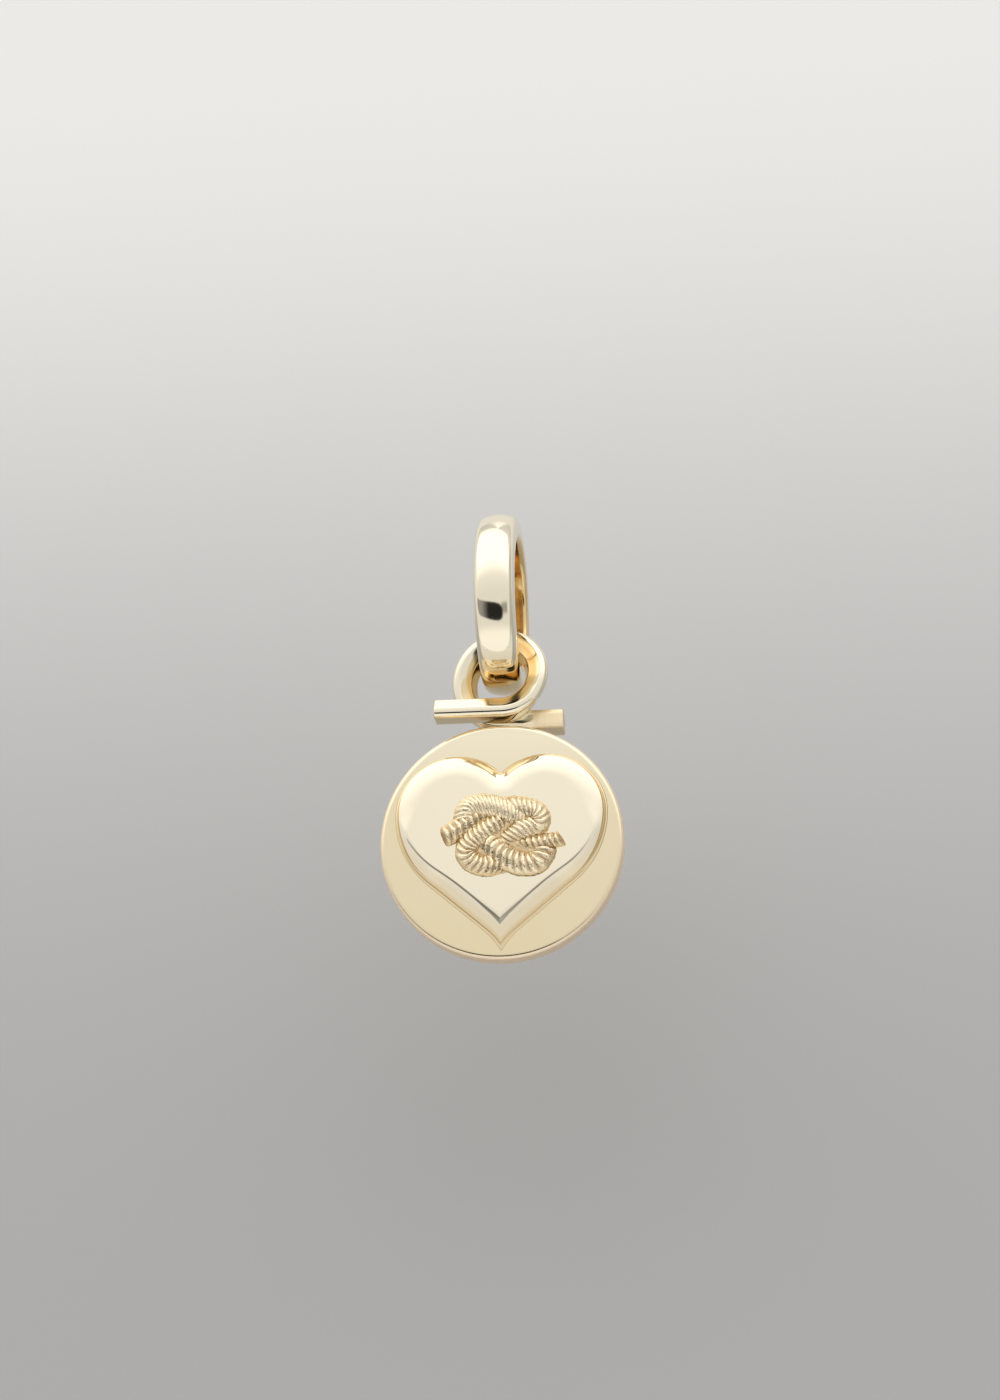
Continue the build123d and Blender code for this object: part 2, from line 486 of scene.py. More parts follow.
def ring_surface(bench, place, s, colours):
    """Polished outside, with painted shade and interreflection deeper in colour inside the eye and a painted
    reflection deeper in colour at the foot.
    """
    _, y, z = place.parts()
    from_axis = (y * y + z * z) ** 0.5
    inside = 1 - from_axis.step_mm(s.ring_inner + 0.02, s.ring_inner + 0.5)
    foot = 1 - z.step_mm(-5.2, -3.9)
    tone = bench.noise(place, RING_TONE_WAVES)
    # Painted shade and interreflection deeper inside the eye, and a painted reflection deeper at the foot,
    # with random tone
    deep = (inside * 0.85).at_least(foot * 0.6) + tone * 0.08
    roughness, relief = polish(bench, place)
    base = bench.blend(deep, colours.bright_gold, colours.deep_gold)
    return base, roughness + inside * 0.06, relief


def wire_surface(bench, place, s, colours):
    """Polished wire, with painted shade deeper in colour inside the loop and under the legs, and deeper in
    colour and brushed across on the rear leg.
    """
    x, y, z = place.parts()
    up = z - s.loop_z * MM
    from_axis = (x * x + up * up) ** 0.5
    wall = s.loop_radius - s.wire_width / 2 + s.wire_chamfer
    inside = 1 - from_axis.step_mm(wall - 0.12, wall + 0.02)
    front_foot, rear_foot = s.seat_z + s.leg_step, s.seat_z
    under = (1 - z.step_mm(front_foot, front_foot + 0.2)) * (1 - y.step_mm(-0.1, 0.1))
    under = under.at_least(1 - z.step_mm(rear_foot, rear_foot + 0.2))
    leg_top = rear_foot + s.wire_width + 0.1
    rear = x.step_mm(1.6, 2.0) * (1 - z.step_mm(leg_top, leg_top + 0.1))
    strokes = bench.noise(place, STROKE_WAVES, detail=3.0, roughness=0.65)
    # Painted shade deeper inside the loop and under the legs; the rear leg is deeper in colour, with brushed
    # strokes
    deep = inside.at_least(under * 0.55).at_least(rear * (0.3 + strokes * 0.5))
    base = bench.blend(0.06 + deep * 0.8, colours.bright_gold, colours.deep_gold)
    brushed = rear * (0.16 + strokes * 0.2) + inside * 0.08
    roughness, relief = polish(bench, place)
    return base, roughness + brushed, relief + rear * strokes * STROKE_HEIGHT


def medal_surface(bench, place, s, colours):
    """Polished ground of the medal, with random tone, painted shade darker towards the bottom and painted
    light paler towards the loop, and a matt rim painted paler and rosy as a painted reflection.
    """
    x, _, z = place.parts()
    up = z - s.disc_z * MM
    from_centre = (x * x + up * up) ** 0.5
    rim = from_centre.step_mm(s.disc_radius - 0.2, s.disc_radius - 0.06)
    tone = bench.noise(place, MEDAL_TONE_WAVES)
    # Random tone, and painted shade darker towards the bottom
    deep = tone * 0.2 + (1 - up.step_mm(-7.0, 0.0)) * 0.08
    base = bench.blend(deep, colours.medal_gold, colours.deep_gold)
    # Painted light: paler towards the loop
    base = bench.blend(up.step_mm(1.5, 7.0) * 0.6, base, colours.bright_gold)
    # Painted reflection on the rim, painted paler and rosy
    base = bench.blend(rim * 0.85, base, colours.rim_gold)
    roughness, relief = polish(bench, place)
    return base, roughness + 0.03 + rim * 0.42, relief


def heart_surface(bench, place, s, colours):
    """Bright on top, with painted shade deeper on the bevel and in the hollow wall, random tone, and a painted
    shade line along the crease.
    """
    _, y, z = place.parts()
    hollow = y.step_mm(s.disc_front - 0.36, s.disc_front - 0.12)
    bevel = y.step_mm(s.heart_front + 0.05, s.heart_front + 0.3)
    bevel = bevel * (1 - z.step_mm(s.disc_z - 2.0, s.disc_z + 1.0))
    tone = bench.noise(place, HEART_TONE_WAVES)
    # Painted shade deeper in the hollow wall and on the lower bevel, with random tone
    deep = (hollow * 0.6).at_least(bevel * 0.24) + tone * 0.08
    base = bench.blend(deep, colours.bright_gold, colours.deep_gold)
    # Painted shade line along the crease, in place of a dark reflection
    base = bench.blend(bench.mark(CREASE) * 0.75, base, colours.crease_brown)
    return base, *polish(bench, place)


def knot_surface(bench, place, s, colours):
    """Cast gold, bright on the ribs, with painted shade brown in the cuts and deeper low on the cord's sides.
    """
    _, y, _ = place.parts()
    low = y.step_mm(s.heart_front - 0.5, s.heart_front - 0.02)
    cut = bench.mark(CUT)
    grain = bench.noise(place, GRAIN_WAVES, detail=3.0, roughness=0.6)
    chips = bench.noise(place, CHIP_WAVES, roughness=0.6)
    # Painted shade low on the cord's sides, with random tone
    base = bench.blend(low * 0.8 + grain * 0.2, colours.knot_gold, colours.knot_side)
    # Painted shade in the cuts
    base = bench.blend(cut * 0.85, base, colours.knot_brown)
    roughness = CAST_ROUGHNESS + grain * 0.1 + cut * 0.2
    return base, roughness, grain * GRAIN_HEIGHT + chips * CHIP_HEIGHT


# The pieces


class CHARM_OT_bail_ring(bpy.types.Operator):
    """Model the closed band that a chain runs through"""

    bl_idname = "charm.bail_ring"
    bl_label = "Bail ring"

    def execute(self, context):
        s = charm_sizes(context)
        strokes = RING_STROKES
        half, edge, inner = s.ring_width / 2, s.ring_inner_edge, s.ring_inner
        crown = s.ring_wall - s.ring_side
        crown_radius = (half ** 2 + crown ** 2) / (2 * crown)
        crown_z = s.ring_outer - crown_radius
        across = half - s.ring_shoulder
        shoulder_z = crown_z + sqrt((crown_radius - s.ring_shoulder) ** 2 - across ** 2)
        shoulder = atan2(shoulder_z - crown_z, across)
        pen = Pen((edge - half, 0, inner))
        pen.line_to((half - edge, 0, inner), strokes.eye)
        pen.arc((half - edge, 0, inner + edge), pi / 2, TO_VIEWER, strokes.edge)
        pen.line_to((half, 0, shoulder_z), strokes.side)
        pen.arc((across, 0, shoulder_z), shoulder, TO_VIEWER, strokes.shoulder)
        pen.arc((0, 0, crown_z), pi - 2 * shoulder, TO_VIEWER, strokes.crown)
        pen.arc((-across, 0, shoulder_z), shoulder, TO_VIEWER, strokes.shoulder)
        pen.line_to((-half, 0, inner + edge), strokes.side)
        pen.arc((edge - half, 0, inner + edge), pi / 2, TO_VIEWER, strokes.edge)
        close_up()
        bpy.ops.mesh.spin(steps=ROUND_STROKES, angle=2 * pi, center=ORIGIN, axis=TO_RIGHT)
        close_up()
        finish_piece("bail_ring_band", "bail_ring", "bail",
                     gold("Polished ring gold", ring_surface))
        return {"FINISHED"}


# The turn next to each leg on which the wire keeps its depth and takes on its twist
LEG_TURN = radians(60)
# Where the rear leg's front edges begin to square off, over how much, and how far the lower one does
SQUARE_START, SQUARE_RUN, LOWER_SQUARE = 0.4, 0.9, 0.75
WIRE_END_RIM = 0.02


class CHARM_OT_hanging_loop(bpy.types.Operator):
    """Model the turn of wire that hangs the medal on the ring, with its crossed legs"""

    bl_idname = "charm.hanging_loop"
    bl_label = "Hanging loop"

    def execute(self, context):
        s = charm_sizes(context)
        strokes = WIRE_STROKES

        def wire_at(turn):
            """Centre of the wire after a turn from the rear leg."""
            lower = s.leg_step / 2 if turn < pi else 0
            share = min(max((turn - LEG_TURN) / (2 * pi - 2 * LEG_TURN), 0), 1)
            radius = s.loop_radius + lower
            height = s.loop_z - lower - radius * cos(turn) - s.loop_sag * max(cos(turn), 0) ** 2
            return Vector((-radius * sin(turn), s.leg_offset * cos(pi * share), height))

        def twist_at(turn):
            """Twist of the wire there, none on the legs."""
            off_leg = min(turn, 2 * pi - turn, LEG_TURN) / LEG_TURN
            return s.wire_twist * (1 - cos(pi * off_leg)) / 2

        def turn_about(axis, value, centre):
            """Turns what is selected, right-handed; the tool counts the other way."""
            bpy.ops.transform.rotate(value=-value, orient_axis=axis, center_override=centre)

        start = wire_at(0)
        start.x += s.rear_leg
        up, deep = s.wire_width / 2, s.wire_depth / 2
        soft, lean = s.chamfer_round, atan2(s.chamfer_depth, s.wire_chamfer)
        slope = Vector((0, -cos(lean), sin(lean)))
        pen = Pen(start + Vector((0, s.wire_front_edge - deep, -up)))

        def round_corner(back, above, rounding):
            """A straight run up to a corner of the section, then its rounding."""
            corner = start + Vector((0, back * (deep - rounding), above * (up - rounding)))
            run = Vector((0, 0, above * rounding)) if above == -back else Vector((0, back * rounding, 0))
            pen.line_to(corner + run, strokes.run)
            pen.arc(corner, pi / 2, TO_RIGHT, strokes.corner)

        round_corner(1, -1, s.wire_edge)
        round_corner(1, 1, s.wire_edge)
        chamfer_back = s.chamfer_depth + soft * tan((pi / 2 - lean) / 2)
        chamfer_below = s.wire_chamfer + soft * tan(lean / 2)
        upper = start + Vector((0, chamfer_back - deep, up - soft))
        lower = start + Vector((0, soft - deep, up - chamfer_below))
        pen.line_to(upper + UPWARDS * soft, strokes.run)
        pen.arc(upper, pi / 2 - lean, TO_RIGHT, strokes.chamfer)
        pen.line_to(lower + slope * soft, strokes.run)
        pen.arc(lower, lean, TO_RIGHT, strokes.chamfer)
        round_corner(-1, -1, s.wire_front_edge)
        fill_outline()
        for _ in range(strokes.leg):
            push((-s.rear_leg / strokes.leg, 0, 0))
        step = 2 * pi / strokes.turn
        for count in range(strokes.turn):
            here, there = count * step, (count + 1) * step
            centre = wire_at(there)
            push(centre - wire_at(here))
            turn_about("Y", -here, centre)
            turn_about("X", twist_at(there) - twist_at(here), centre)
            turn_about("Y", there, centre)
        for _ in range(strokes.leg):
            push((-s.front_leg / strokes.leg, 0, 0))
        close_up(gap=0.0005)
        bpy.ops.object.mode_set(mode="OBJECT")
        # Right of the crossing, both front edges of the rear leg are square
        upper_edge = 1, chamfer_back, chamfer_below, 1.0
        lower_edge = -1, s.wire_front_edge, s.wire_front_edge, LOWER_SQUARE
        for vertex in context.object.data.vertices:
            for side, width, height, most in (upper_edge, lower_edge):
                back = (vertex.co.y - start.y + deep) / width
                within = (up - side * (vertex.co.z - start.z)) / height
                along = min(max((vertex.co.x - SQUARE_START) / SQUARE_RUN, 0), most)
                share = along * min(back, within)
                if 0 < back < 1 and 0 < within < 1:
                    vertex.co.y -= share * width
                    vertex.co.z += side * share * height
        bpy.ops.object.mode_set(mode="EDIT")
        ends = (start.x, -s.front_leg)
        pick("EDGE", lambda e: any(all(abs(v.co.x - end) < SAME for v in e.verts) for end in ends))
        bpy.ops.mesh.bevel(offset=s.wire_end_edge, segments=strokes.end)
        inset_caps(WIRE_END_RIM)
        finish_piece("hanging_loop_wire", "hanging_loop", "charm",
                     gold("Loop wire gold", wire_surface))
        return {"FINISHED"}


DISC_FACE_RIM = 0.03


class CHARM_OT_medal_disc(bpy.types.Operator):
    """Model the round medal with the flat that seats the loop"""

    bl_idname = "charm.medal_disc"
    bl_label = "Medal disc"

    def execute(self, context):
        s = charm_sizes(context)
        bpy.ops.object.select_all(action="DESELECT")
        bpy.ops.mesh.primitive_cylinder_add(vertices=ROUND_STROKES, radius=s.disc_radius,
                                            depth=s.disc_thickness, location=(0, 0, s.disc_z),
                                            rotation=(pi / 2, 0, 0))
        bpy.ops.object.transform_apply(location=True, rotation=True, scale=True)
        bpy.ops.object.mode_set(mode="EDIT")
        pick("EDGE", lambda e: abs(e.verts[0].co.y - e.verts[1].co.y) < SAME)
        bpy.ops.mesh.bevel(offset=s.disc_edge, segments=DISC_EDGE_STROKES)
        bpy.ops.mesh.select_all(action="SELECT")
        bpy.ops.mesh.bisect(plane_co=(0, 0, s.seat_z), plane_no=UPWARDS, clear_outer=True, use_fill=True,
                            threshold=SAME)
        inset_caps(DISC_FACE_RIM)
        finish_piece("medal_disc_blank", "medal_disc", "charm",
                     gold("Medal gold", medal_surface))
        return {"FINISHED"}


# The heart's outlines inwards: shares of the hollow wall, its lip, even steps over the bevel, one on the top
COVE_SHARES = (0, 0.2, 0.4, 0.55, 0.7, 0.8, 0.88, 0.94, 0.98, 1.0)
LIP_STEPS = (0.008, 0.018, 0.03)
BEVEL_START, BEVEL_STEPS, TOP_STEP = 0.06, 40, 0.1
# They are drawn so many times further forwards, so that they bridge in order
STACK = 10
# Heights over the medal's centre at which the bevel draws in, the lobes soften and the crease's painted shade
# line fades
BEVEL_DRAWS_IN = (-3.0, 0.6)
LOBES_SOFTEN = (0.2, 2.2)
CREASE_FADES = (-1.8, 0.4)
CREASE_WIDTH = 0.08
TIP_WIDTH = 1.6
# Where the softer hollow beside the cleft begins and ends sideways, and its least height
CLEFT_BEGINS, CLEFT_ENDS, CLEFT_HEIGHT = (0.05, 0.5), (0.9, 2.7), 2
# The sharp edges at the cleft and the point start this high
SHARP_START = 0.01


class CHARM_OT_heart_plate(bpy.types.Operator):
    """Model the raised heart: a hollow wall, a bevel along the lower V, soft lobes and a flat top"""

    bl_idname = "charm.heart_plate"
    bl_label = "Heart plate"

    def execute(self, context):
        s = charm_sizes(context)
        self.outlines(s)
        heart = context.object
        shares = {}
        for vertex in heart.data.vertices:
            inset = -vertex.co.y / STACK
            # Shares of the painted shade line along the crease
            off_crease = smooth(abs(inset - self.bevel_at(s, vertex.co)), 0.0, CREASE_WIDTH)
            shares[vertex.index] = (1 - off_crease) * (1 - smooth(vertex.co.z, *CREASE_FADES))
            vertex.co.y = s.disc_front - self.rise(s, inset, vertex.co)
            vertex.co.z += s.disc_z
        mark_points(heart, CREASE, shares)
        shape_by("MIRROR", "Other half", use_clip=True, merge_threshold=0.001)
        bpy.ops.object.mode_set(mode="EDIT")
        bpy.ops.mesh.select_mode(type="EDGE")
        bpy.ops.mesh.select_all(action="DESELECT")
        bpy.ops.mesh.select_non_manifold()
        bpy.ops.mesh.fill_holes(sides=0)
        close_up(gap=0.0002)
        front = s.disc_front - SHARP_START
        pick("EDGE", lambda e: all(abs(v.co.x) < SAME and v.co.y < front for v in e.verts))
        bpy.ops.mesh.mark_sharp()
        finish_piece("heart_plate_relief", "heart_plate", "charm",
                     gold("Heart gold", heart_surface))
        return {"FINISHED"}

    def outlines(self, s):
        """Half outlines of the heart at growing distances from its edge, bridged in a stack."""
        strokes = HEART_STROKES
        along = Vector((-sin(s.flank_turn), 0, -cos(s.flank_turn)))
        outward = Vector((cos(s.flank_turn), 0, -sin(s.flank_turn)))
        lobe = Vector((s.heart_half_width - s.lobe_radius, 0, s.lobe_height))
        flank = Vector((s.heart_half_width - s.flank_radius, 0, s.lobe_height))
        flank_end = flank + outward * s.flank_radius
        point_start = flank_end + along * ((flank_end.x - s.point_width) / -along.x)
        to_point = Vector((0, 0, -s.point_drop)) - point_start
        point_radius = to_point.length_squared / (2 * to_point.dot(outward))
        point_centre = point_start + outward * point_radius
        point_turn = atan2(-outward.z, -outward.x)
        lobe_turn = acos(-lobe.x / s.lobe_radius)
        cleft = Vector((0, 0, lobe.z + s.lobe_radius * sin(lobe_turn)))
        bevel_start, bevel_end = s.cove_width + BEVEL_START, s.bevel_width + 2 * s.tip_round
        insets = [s.cove_width * share for share in COVE_SHARES]
        insets += [s.cove_width + step for step in LIP_STEPS]
        insets += [bevel_start + (bevel_end - bevel_start) * step / BEVEL_STEPS
                   for step in range(BEVEL_STEPS + 1)]
        insets.append(bevel_end + TOP_STEP)
        for inset in insets:
            level = Vector((0, -STACK * inset, 0))
            pen = Pen(level + cleft + Vector((0, 0, -inset)))
            pen.arc(level + cleft, lobe_turn - pi / 2, TO_VIEWER, strokes.cleft)
            pen.arc(level + lobe, -lobe_turn, TO_VIEWER, strokes.lobe)
            pen.arc(level + flank, -s.flank_turn, TO_VIEWER, strokes.flank)
            pen.line_to(level + point_start - outward * inset, strokes.side)
            end_turn = acos(-point_centre.x / (point_radius + inset))
            pen.arc(level + point_centre, end_turn - point_turn, TO_VIEWER, strokes.point)
        bpy.ops.mesh.select_all(action="SELECT")
        bpy.ops.mesh.bridge_edge_loops()
        bpy.ops.object.mode_set(mode="OBJECT")

    def bevel_at(self, s, place):
        """Width of the bevel, which draws in beside the lobes."""
        return s.bevel_width + (s.bevel_end - s.bevel_width) * smooth(place.z, *BEVEL_DRAWS_IN)

    def rise(self, s, inset, place):
        """Height of the heart over the medal at a distance from its outline."""
        lobes = smooth(place.z, *LOBES_SOFTEN)
        width = self.bevel_at(s, place)
        slope = tan(s.bevel_slope + (s.lobe_slope - s.bevel_slope) * lobes)
        tip = max(0, 1 - abs(place.x) / TIP_WIDTH) if place.z < 0 else 0
        soft = s.crease_round + (s.lobe_round - s.crease_round) * lobes + s.tip_round * tip
        level = max(inset, s.cove_width)
        over = min(max(width + soft - level, 0), 2 * soft)
        height = s.heart_rise - slope * (over ** 2 / (4 * soft) + max(0, width - soft - level))
        cove = 1 - sqrt(max(0.0, 1 - min(inset / s.cove_width, 1) ** 2))
        beside = 0
        if place.z > CLEFT_HEIGHT:
            beside = smooth(abs(place.x), *CLEFT_BEGINS) * (1 - smooth(abs(place.x), *CLEFT_ENDS))
        return height * (cove + (smooth(inset, 0, s.cleft_cove) - cove) * beside)


# A strand of the knot as it lies on the heart: the step of its ribs, its thickness, the depth of its cuts, how
# far the ribs lean and bend back on the way down the sides, and its route right, up and out from the knot's
# centre, in millimetres
Strand = namedtuple("Strand", "pitch thickness depth lean bend route")

LEFT_TAIL = Strand(
    pitch=0.36, thickness=1.0, depth=1.0, lean=0.5, bend=-0.7,
    route=((-3.1, -0.2, 0.0), (-2.75, 0.0, 0.1), (-2.2, 0.35, 0.1), (-1.6, 0.75, 0.0), (-1.0, 1.1, -0.2)))
RIGHT_TAIL = Strand(
    pitch=0.31, thickness=0.74, depth=0.9, lean=-0.8, bend=-0.6,
    route=((3.4, -0.58, 0.02), (2.8, -0.72, 0.1), (2.1, -0.75, 0.12), (1.5, -0.75, 0.02), (0.8, -0.75, -0.2)))
UPPER_RIGHT_LOBE = Strand(
    pitch=0.27, thickness=1.06, depth=0.75, lean=-2.0, bend=0.0,
    route=((-0.4, 1.2, -0.3), (0.5, 1.5, 0.0), (1.35, 1.36, 0.12), (2.25, 1.1, 0.1), (2.3, 0.3, 0.1),
           (1.7, 0.2, 0.16), (1.0, -0.05, 0.1), (0.3, -0.5, -0.25)))
LOWER_LEFT_LOBE = Strand(
    pitch=0.29, thickness=1.06, depth=0.95, lean=0.4, bend=-1.2,
    route=((0.4, 0.9, -0.3), (-0.3, 0.45, 0.08), (-1.0, -0.05, 0.18), (-1.75, -0.6, 0.16), (-2.02, -1.4, 0.1),
           (-1.2, -2.02, 0.1), (-0.4, -2.0, 0.02), (0.3, -1.9, -0.25)))
UPPER_ARCH = Strand(
    pitch=0.21, thickness=1.08, depth=0.5, lean=-2.2, bend=0.0,
    route=((-2.1, 0.5, -0.2), (-2.05, 1.2, 0.1), (-1.5, 1.62, 0.2), (-0.6, 1.55, 0.26), (0.2, 1.3, 0.24),
           (0.8, 0.98, 0.1), (1.4, 0.6, -0.25)))
LOWER_ARCH = Strand(
    pitch=0.37, thickness=1.14, depth=1.0, lean=-1.3, bend=-0.4,
    route=((2.6, -1.2, -0.1), (2.4, -1.75, 0.1), (1.8, -2.05, 0.16), (1.0, -1.95, 0.22), (0.2, -1.5, 0.24),
           (-0.35, -0.95, 0.12), (-0.9, -0.5, -0.25)))
KNOT_STRANDS = (LEFT_TAIL, RIGHT_TAIL, UPPER_RIGHT_LOBE, LOWER_LEFT_LOBE, UPPER_ARCH, LOWER_ARCH)

# The ground between the strands, right and up from the knot's centre, the steps of its rise with the share of
# its width, and its share of the painted shade of the cuts
KNOT_GROUND = (
    (-2.25, 0.9), (-1.5, 1.55), (-0.3, 1.55), (0.6, 1.45), (1.5, 1.35), (2.2, 0.9), (2.25, 0.2), (2.3, -0.6),
    (2.6, -1.2), (2.3, -1.75), (1.6, -1.95), (0.6, -1.75), (0.0, -1.85), (-0.8, -2.05), (-1.6, -1.85),
    (-2.0, -1.3), (-1.75, -0.6), (-2.2, -0.1), (-2.2, 0.4))
GROUND_STEPS = ((0.16, 1.0), (0.07, 0.97), (0.04, 0.93), (0.02, 0.8))
GROUND_SHADE = 0.4

# The knot's underside, a little inside the heart
KNOT_FOOT = -0.03
# Rings and sides of a rib, where its cut ends down the sides and over what turn it fades, and its swelling
RIB_RINGS, RIB_SIDES = 6, 32
CUT_END, CUT_FADE = radians(74), radians(34)
RIB_OFF_CENTRE, RIB_SHARPNESS = 1.3, 1.3
COLUMN_WIDTH = 0.01
# The rounding of a strand's end: steps ahead, each with the share of the width
END_STEPS = ((0.04, 0.95), (0.05, 0.85), (0.04, 0.7), (0.02, 0.45))
WEAR_SCALE = 0.2


class CHARM_OT_rope_knot(bpy.types.Operator):
    """Model the ribbed cord of the knot, strand by strand"""

    bl_idname = "charm.rope_knot"
    bl_label = "Rope knot"

    def execute(self, context):
        s = charm_sizes(context)
        strands = [self.strand(s, shape) for shape in KNOT_STRANDS]
        strands.append(self.ground())
        bpy.ops.object.select_all(action="DESELECT")
        for strand in strands:
            strand.select_set(True)
        context.view_layer.objects.active = strands[0]
        bpy.ops.object.join()
        grain = bpy.data.textures.new("Cast grain", "CLOUDS")
        grain.noise_scale = WEAR_SCALE
        shape_by("DISPLACE", "Wear", texture=grain, texture_coords="LOCAL", strength=s.cord_wear * 2)
        bpy.ops.object.mode_set(mode="EDIT")
        bpy.ops.mesh.select_all(action="SELECT")
        bpy.ops.transform.resize(value=(1, 1, s.cord_flat), center_override=ORIGIN)
        bpy.ops.transform.rotate(value=-pi / 2, orient_axis="X", center_override=ORIGIN)
        bpy.ops.transform.translate(value=(0, s.heart_front, s.disc_z + s.knot_lift))
        finish_piece("rope_knot_cord", "rope_knot", "charm",
                     gold("Carved knot gold", knot_surface))
        return {"FINISHED"}

    def ground(self):
        """A low mound under the strands, so that the knot has no holes."""
        pen = Pen((*KNOT_GROUND[0], KNOT_FOOT))
        for point in (*KNOT_GROUND[1:], KNOT_GROUND[0]):
            pen.line_to((*point, KNOT_FOOT), GROUND_STROKES)
        fill_outline()
        for lift, scale in GROUND_STEPS:
            push((0, 0, lift))
            bpy.ops.transform.resize(value=(scale, scale, 1))
        close_up()
        bpy.ops.object.mode_set(mode="OBJECT")
        mound = bpy.context.object
        # The mound between the strands gets part of the cuts' painted shade
        mark_points(mound, CUT, {vertex.index: GROUND_SHADE for vertex in mound.data.vertices})
        return mound

    def strand(self, s, shape):
        """One strand of ribbed cord, modelled flat with its front upwards."""
        bpy.ops.object.select_all(action="DESELECT")
        bpy.ops.curve.primitive_nurbs_path_add()
        path = bpy.context.object
        path.data.splines.clear()
        spline = path.data.splines.new("NURBS")
        spline.points.add(len(shape.route) - 1)
        for control, point in zip(spline.points, shape.route):
            control.co = (*point, 1)
        spline.order_u = 3
        spline.use_endpoint_u = True
        path.data.resolution_u = 24
        path.data.twist_mode = "Z_UP"
        cord = self.rib(s, shape)
        shape_by("ARRAY", "Row of ribs", fit_type="FIT_CURVE", curve=path, use_relative_offset=False,
                 use_constant_offset=True, constant_offset_displace=(shape.pitch, 0, 0),
                 use_merge_vertices=True, merge_threshold=0.002)
        shape_by("CURVE", "Lay", object=path)
        bpy.data.objects.remove(path)
        bpy.ops.object.mode_set(mode="EDIT")
        bpy.ops.mesh.select_mode(type="EDGE")
        first, second, *_, last_but_one, last = [Vector(point) for point in shape.route]
        self.round_off(s, first, first - second)
        self.round_off(s, last, last - last_but_one)
        close_up(gap=0.001)
        bpy.ops.mesh.bisect(plane_co=(0, 0, KNOT_FOOT), plane_no=UPWARDS, clear_inner=True, threshold=SAME)
        bpy.ops.mesh.select_all(action="SELECT")
        bpy.ops.mesh.delete_loose()
        close_up(gap=0.0005)
        pick("EDGE", lambda e: e.is_boundary)
        bpy.ops.mesh.fill_holes(sides=0)
        bpy.ops.mesh.select_all(action="SELECT")
        bpy.ops.mesh.normals_make_consistent(inside=False)
        bpy.ops.object.mode_set(mode="OBJECT")
        return cord

    def rib(self, s, shape):
        """One rib: a short tube that swells in its middle, leans or bends back and fades down its sides."""
        pitch, radius = shape.pitch, s.cord_radius * shape.thickness
        bpy.ops.object.select_all(action="DESELECT")
        bpy.ops.mesh.primitive_cylinder_add(vertices=RIB_SIDES, radius=radius, depth=pitch,
                                            end_fill_type="NOTHING", rotation=(0, pi / 2, 0),
                                            location=(pitch / 2, 0, 0))
        bpy.ops.object.transform_apply(location=True, rotation=True, scale=True)
        bpy.ops.object.mode_set(mode="EDIT")
        pick("EDGE", lambda e: abs(e.verts[0].co.x - e.verts[1].co.x) > pitch / 2)
        bpy.ops.mesh.subdivide(number_cuts=RIB_RINGS - 1)
        tool = bmesh.from_edit_mesh(bpy.context.edit_object.data)
        down = {v.index: atan2(v.co.y, v.co.z) for v in tool.verts}
        ring_of = {v.index: round(v.co.x / pitch * RIB_RINGS) for v in tool.verts}
        depths = {}
        for column in sorted({round(turn, 3) for turn in down.values()}):
            fade = min(max((CUT_END - abs(column)) / CUT_FADE, 0), 1)
            peak = max(cos(column), 0.0) ** 0.5 if abs(column) < pi / 2 else 1
            aside = max(min(column / (pi / 2), 1), -1)
            shift = s.cord_slant * (shape.lean * aside + shape.bend * abs(aside))
            for ring in range(RIB_RINGS + 1):
                along = ring / RIB_RINGS
                middle_height = sin(pi * along ** RIB_OFF_CENTRE) ** RIB_SHARPNESS
                cut = (1 - middle_height) * fade * shape.depth
                swell = 1 - s.cord_cut / radius * cut
                members = {i for i in down if ring_of[i] == ring and abs(down[i] - column) < COLUMN_WIDTH}
                pick("VERT", lambda v: v.index in members)
                bpy.ops.transform.resize(value=(1, swell, swell * peak),
                                         center_override=(pitch * ring / RIB_RINGS, 0, 0))
                bpy.ops.transform.translate(value=(shift, 0, 0))
                depths.update(dict.fromkeys(members, cut))
        bpy.ops.object.mode_set(mode="OBJECT")
        rib = bpy.context.object
        mark_points(rib, CUT, depths)
        return rib

    def round_off(self, s, end, outward):
        """Rounds the open end of a strand nearest to a point."""
        tool = bmesh.from_edit_mesh(bpy.context.edit_object.data)
        near = 3 * s.cord_radius
        rim = {e.index for e in tool.edges if e.is_boundary and (middle(e) - end).length < near}
        pick("EDGE", lambda e: e.index in rim)
        for ahead, scale in END_STEPS:
            step = outward.normalized() * ahead
            bpy.ops.mesh.extrude_edges_move(TRANSFORM_OT_translate={"value": step})
            bpy.ops.transform.resize(value=(scale, scale, scale))
        bpy.ops.mesh.edge_face_add()


# The sheet: its size in metres, its least room to the charm, and the heights at which its painted light
# falloff pales it up and down
SHEET_SIZE, SHEET_AIR = 0.6, 0.01
SHEET_PALES_UP, SHEET_POWER = (-0.0487, 0.0638), 1.55
SHEET_PALES_DOWN = (-0.069, -0.0498)
SHEET_ROUGHNESS = 0.6

# The studio's light, with its places in degrees, apart from the box's width, which is given by the sine
STUDIO_WHITE = (1.0, 0.985, 0.96, 1.0)
SEEN_LEVEL = 0.8
WALL_LEVEL = 0.82
SKY_RISES, SKY_GAIN = (-8.0, 28.0), 0.14
BOX_UP, BOX_ACROSS, BOX_GAIN = (14.0, 44.0, 74.0, 120.0), (-0.95, -0.72, 0.68, 0.85), 0.5
RIGHT_DIMS, LEFT_DIMS, BACK_CLEARS, SIDE_SHADE = (58.0, 76.0), (-112.0, -88.0), (125.0, 170.0), 0.42
